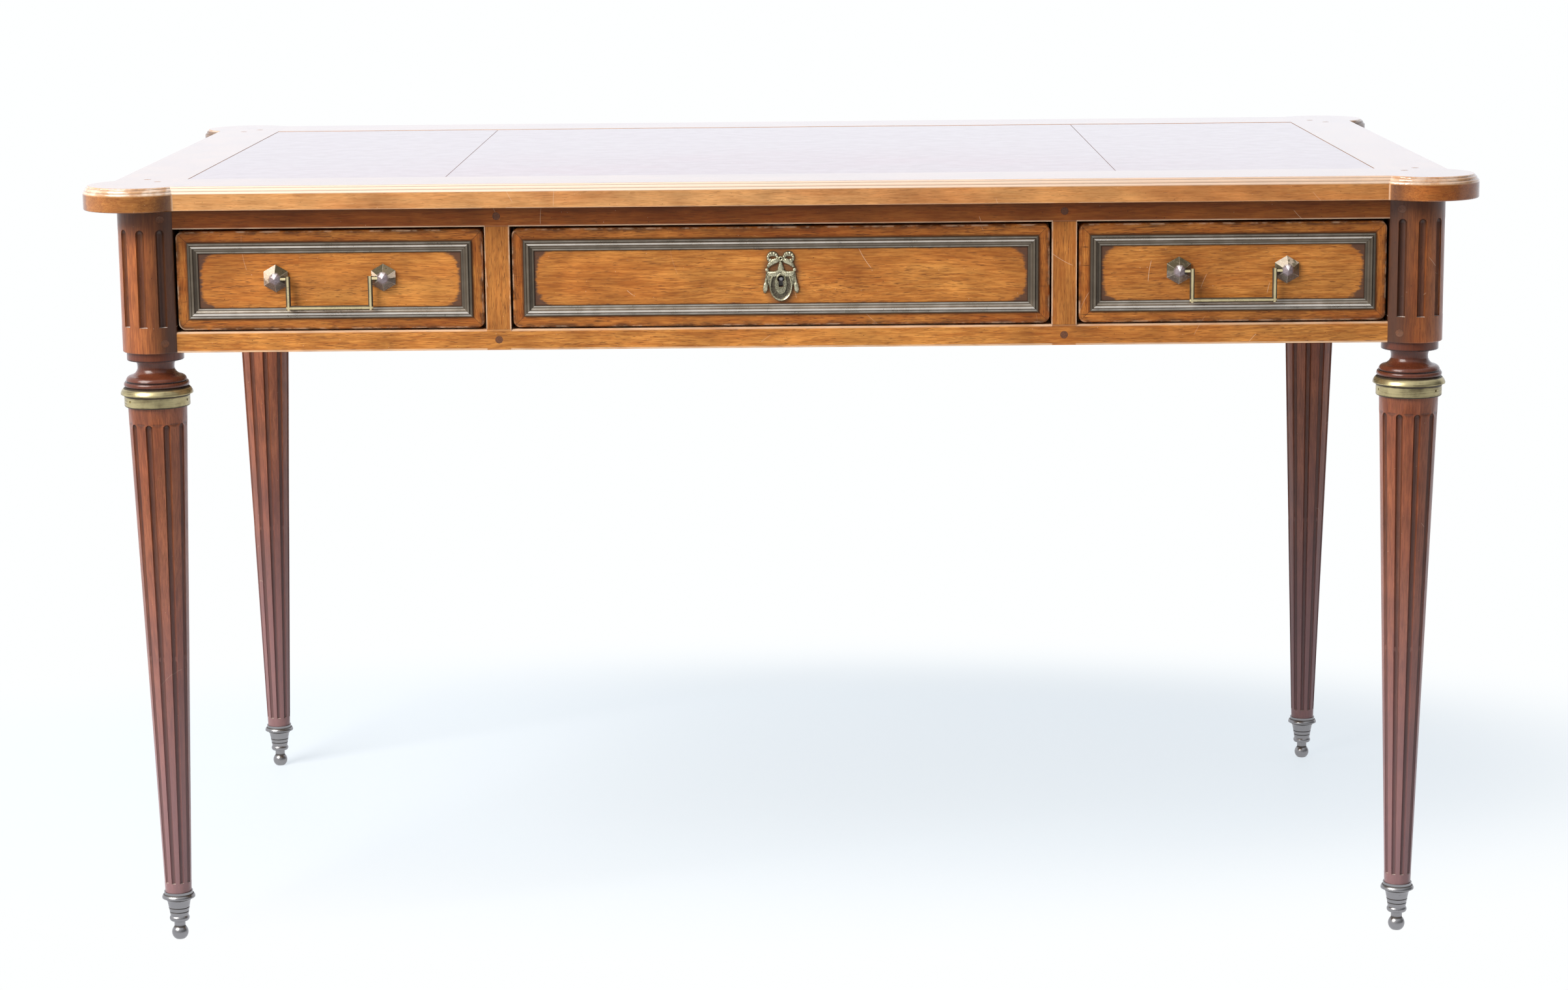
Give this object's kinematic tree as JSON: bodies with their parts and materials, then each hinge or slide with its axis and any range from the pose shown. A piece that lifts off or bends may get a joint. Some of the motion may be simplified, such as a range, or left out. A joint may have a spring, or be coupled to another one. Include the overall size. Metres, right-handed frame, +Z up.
{
  "type": "bureau plat",
  "caption": "Flat-topped writing desk in mahogany with a leather top, round ears over turned fluted legs, brass-framed frieze drawers, bail handles, bow escutcheon, brass collars and sabots.",
  "frame": {"origin": "on the floor, midway between the four legs", "axes": "+X to the right as the drawers are seen, -Y towards the sitter, +Z up"},
  "size_m": [1.344, 0.798, 0.76],
  "materials": {
    "case_wood": "old waxed mahogany, worn pale on the arrises",
    "lining_wood": "bare oak",
    "peg_wood": "dark end grain",
    "brass": "aged, dark in the hollows",
    "bronze": "tarnished grey-brown",
    "leather": "polished, worn",
    "lock_steel": "dull"
  },
  "bodies": {
    "desk": {"front_left_leg": "case_wood", "front_left_collar": "brass", "front_left_sabot": "bronze", "front_right_leg": "case_wood", "front_right_collar": "brass", "front_right_sabot": "bronze", "back_left_leg": "case_wood", "back_left_collar": "brass", "back_left_sabot": "bronze", "back_right_leg": "case_wood", "back_right_collar": "brass", "back_right_sabot": "bronze", "collar_pins": "brass", "front_top_rail": "case_wood", "front_bottom_rail": "case_wood", "left_stile": "case_wood", "right_stile": "case_wood", "back_apron": "case_wood", "left_apron": "case_wood", "right_apron": "case_wood", "frame_pegs": "peg_wood", "drawer_runners": "lining_wood", "drawer_guides": "lining_wood", "drawer_kickers": "lining_wood", "drawer_stops": "lining_wood", "top_front_rail": "case_wood", "top_back_rail": "case_wood", "top_left_rail": "case_wood", "top_right_rail": "case_wood", "top_ground": "lining_wood", "leather_left": "leather", "leather_centre": "leather", "leather_right": "leather", "top_pegs": "peg_wood", "apron_mouldings": "brass"},
    "left_drawer": {"left_drawer_front": "case_wood", "left_drawer_sides": "lining_wood", "left_drawer_back": "lining_wood", "left_drawer_bottom": "lining_wood", "left_drawer_moulding": "brass", "left_handle_knobs": "brass", "left_handle_nuts": "lock_steel"},
    "centre_drawer": {"centre_drawer_front": "case_wood", "centre_drawer_sides": "lining_wood", "centre_drawer_back": "lining_wood", "centre_drawer_bottom": "lining_wood", "centre_drawer_moulding": "brass", "escutcheon": "brass", "lock_case": "lock_steel", "lock_pin": "lock_steel"},
    "right_drawer": {"right_drawer_front": "case_wood", "right_drawer_sides": "lining_wood", "right_drawer_back": "lining_wood", "right_drawer_bottom": "lining_wood", "right_drawer_moulding": "brass", "right_handle_knobs": "brass", "right_handle_nuts": "lock_steel"},
    "left_bail": {"left_bail": "brass"},
    "right_bail": {"right_bail": "brass"},
    "lock_bolt": {"lock_bolt": "lock_steel"}
  },
  "joints": [
    {"name": "left_drawer_slide", "type": "slide", "parent": "desk", "child": "left_drawer", "axis": [0, -1, 0], "range_m": [0, 0.4]},
    {"name": "centre_drawer_slide", "type": "slide", "parent": "desk", "child": "centre_drawer", "axis": [0, -1, 0], "range_m": [0, 0.4]},
    {"name": "right_drawer_slide", "type": "slide", "parent": "desk", "child": "right_drawer", "axis": [0, -1, 0], "range_m": [0, 0.4]},
    {"name": "left_bail_hinge", "type": "hinge", "parent": "left_drawer", "child": "left_bail", "pos_m": [-0.43581, -0.363, 0.6687], "axis": [-1, 0, 0], "range_deg": [0, 170]},
    {"name": "right_bail_hinge", "type": "hinge", "parent": "right_drawer", "child": "right_bail", "pos_m": [0.43581, -0.363, 0.6687], "axis": [-1, 0, 0], "range_deg": [0, 170]},
    {"name": "lock_bolt_slide", "type": "slide", "parent": "centre_drawer", "child": "lock_bolt", "axis": [0, 0, 1], "range_m": [0, 0.008]}
  ]
}
